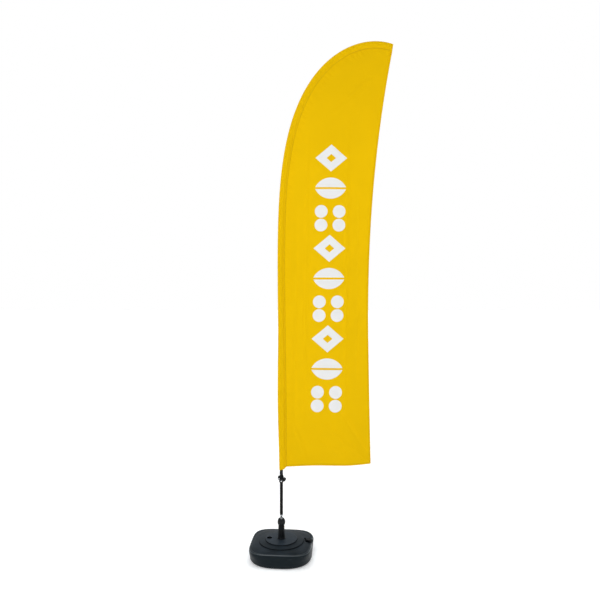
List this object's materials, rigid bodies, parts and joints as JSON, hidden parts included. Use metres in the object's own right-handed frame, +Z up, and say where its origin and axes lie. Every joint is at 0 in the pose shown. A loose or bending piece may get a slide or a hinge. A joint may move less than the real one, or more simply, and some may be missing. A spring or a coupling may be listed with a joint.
{
  "type": "feather flag on a water base",
  "caption": "Tall feather flag: a bent sectional mast in a sewn sleeve, turning on a bearing spindle clamped in the stem of a hollow water-filled base.",
  "frame": {"origin": "on the floor under the base, at the mast's axis", "axes": "+Z up along the mast's foot and the swivel's axis; +X the way the flag flies at rest; +Y away from the side that is usually seen"},
  "size_m": [0.8681, 0.3804, 3.1133],
  "materials": {
    "tank_plastic": "satin",
    "fitting_plastic": "satin",
    "water": "gloss",
    "rubber": "matte",
    "chrome": "polished",
    "steel": "satin",
    "mast_tube": "satin",
    "glass_fibre": "satin",
    "flag_cloth": "matte",
    "webbing": "matte"
  },
  "bodies": {
    "base": {"base_tank": "tank_plastic", "water_fill": "water", "filler_neck": "fitting_plastic", "stem_tube": "fitting_plastic"},
    "cap_lift": {"filler_gasket": "rubber"},
    "cap": {"filler_cap": "fitting_plastic"},
    "vent": {"vent_plug": "fitting_plastic"},
    "collet": {"clamp_collet": "fitting_plastic"},
    "nut": {"clamp_nut": "fitting_plastic"},
    "spindle": {"spindle": "chrome", "bearing_spacer": "steel", "axle_circlip": "steel", "bearing_lower_inner_ring": "steel", "bearing_upper_inner_ring": "steel"},
    "cages": {"bearing_lower_ball_cage": "steel", "bearing_upper_ball_cage": "steel"},
    "rotor": {"rotor_sleeve": "chrome", "bearing_lower_outer_ring": "steel", "bearing_upper_outer_ring": "steel"},
    "mast": {"mast_section_1": "mast_tube", "mast_section_2": "mast_tube", "mast_section_3": "glass_fibre", "mast_section_4": "glass_fibre", "mast_tip_cap": "rubber", "flag_sleeve": "flag_cloth", "flag_panel": "flag_cloth", "webbing_tab": "webbing", "tension_cord": "webbing"},
    "clip": {"clip_collar": "fitting_plastic"},
    "clip_screw": {"clip_screw": "steel"}
  },
  "joints": [
    {"name": "cap_rise", "type": "slide", "parent": "base", "child": "cap_lift", "axis": [0, 0, 1], "range_m": [0, 0.0101]},
    {"name": "cap_turn", "type": "hinge", "parent": "cap_lift", "child": "cap", "pos_m": [0.16571, 0.00984, 0.08], "axis": [0, 0, 1], "range_deg": [0, 900]},
    {"name": "vent_pull", "type": "slide", "parent": "base", "child": "vent", "axis": [0, 0, 1], "range_m": [0, 0.016]},
    {"name": "collet_rise", "type": "slide", "parent": "base", "child": "collet", "axis": [0, 0, 1], "range_m": [0, 0.0051]},
    {"name": "nut_turn", "type": "hinge", "parent": "collet", "child": "nut", "pos_m": [0, 0, 0.205], "axis": [0, 0, 1], "range_deg": [0, 720]},
    {"name": "spindle_lift", "type": "slide", "parent": "base", "child": "spindle", "axis": [0, 0, 1], "range_m": [0, 0.108]},
    {"name": "cage_roll", "type": "hinge", "parent": "spindle", "child": "cages", "pos_m": [0, 0, 0.2555], "axis": [0, 0, 1], "continuous": true},
    {"name": "mast_swivel", "type": "hinge", "parent": "spindle", "child": "rotor", "pos_m": [0, 0, 0.2555], "axis": [0, 0, 1], "continuous": true},
    {"name": "mast_lift", "type": "slide", "parent": "rotor", "child": "mast", "axis": [0, 0, 1], "range_m": [0, 0.095]},
    {"name": "clip_slide", "type": "slide", "parent": "mast", "child": "clip", "axis": [0, 0, 1], "range_m": [-0.03, 0.006], "deforming": ["tension_cord"]},
    {"name": "clip_screw_turn", "type": "hinge", "parent": "clip", "child": "clip_screw", "pos_m": [0, -0.015, 0.452], "axis": [0, -1, 0], "range_deg": [0, 360]}
  ],
  "couplings": [
    {"joint": "cap_rise", "follows": "cap_turn", "m_per_rad": 0.00063662},
    {"joint": "collet_rise", "follows": "nut_turn", "m_per_rad": 0.00039789}
  ]
}
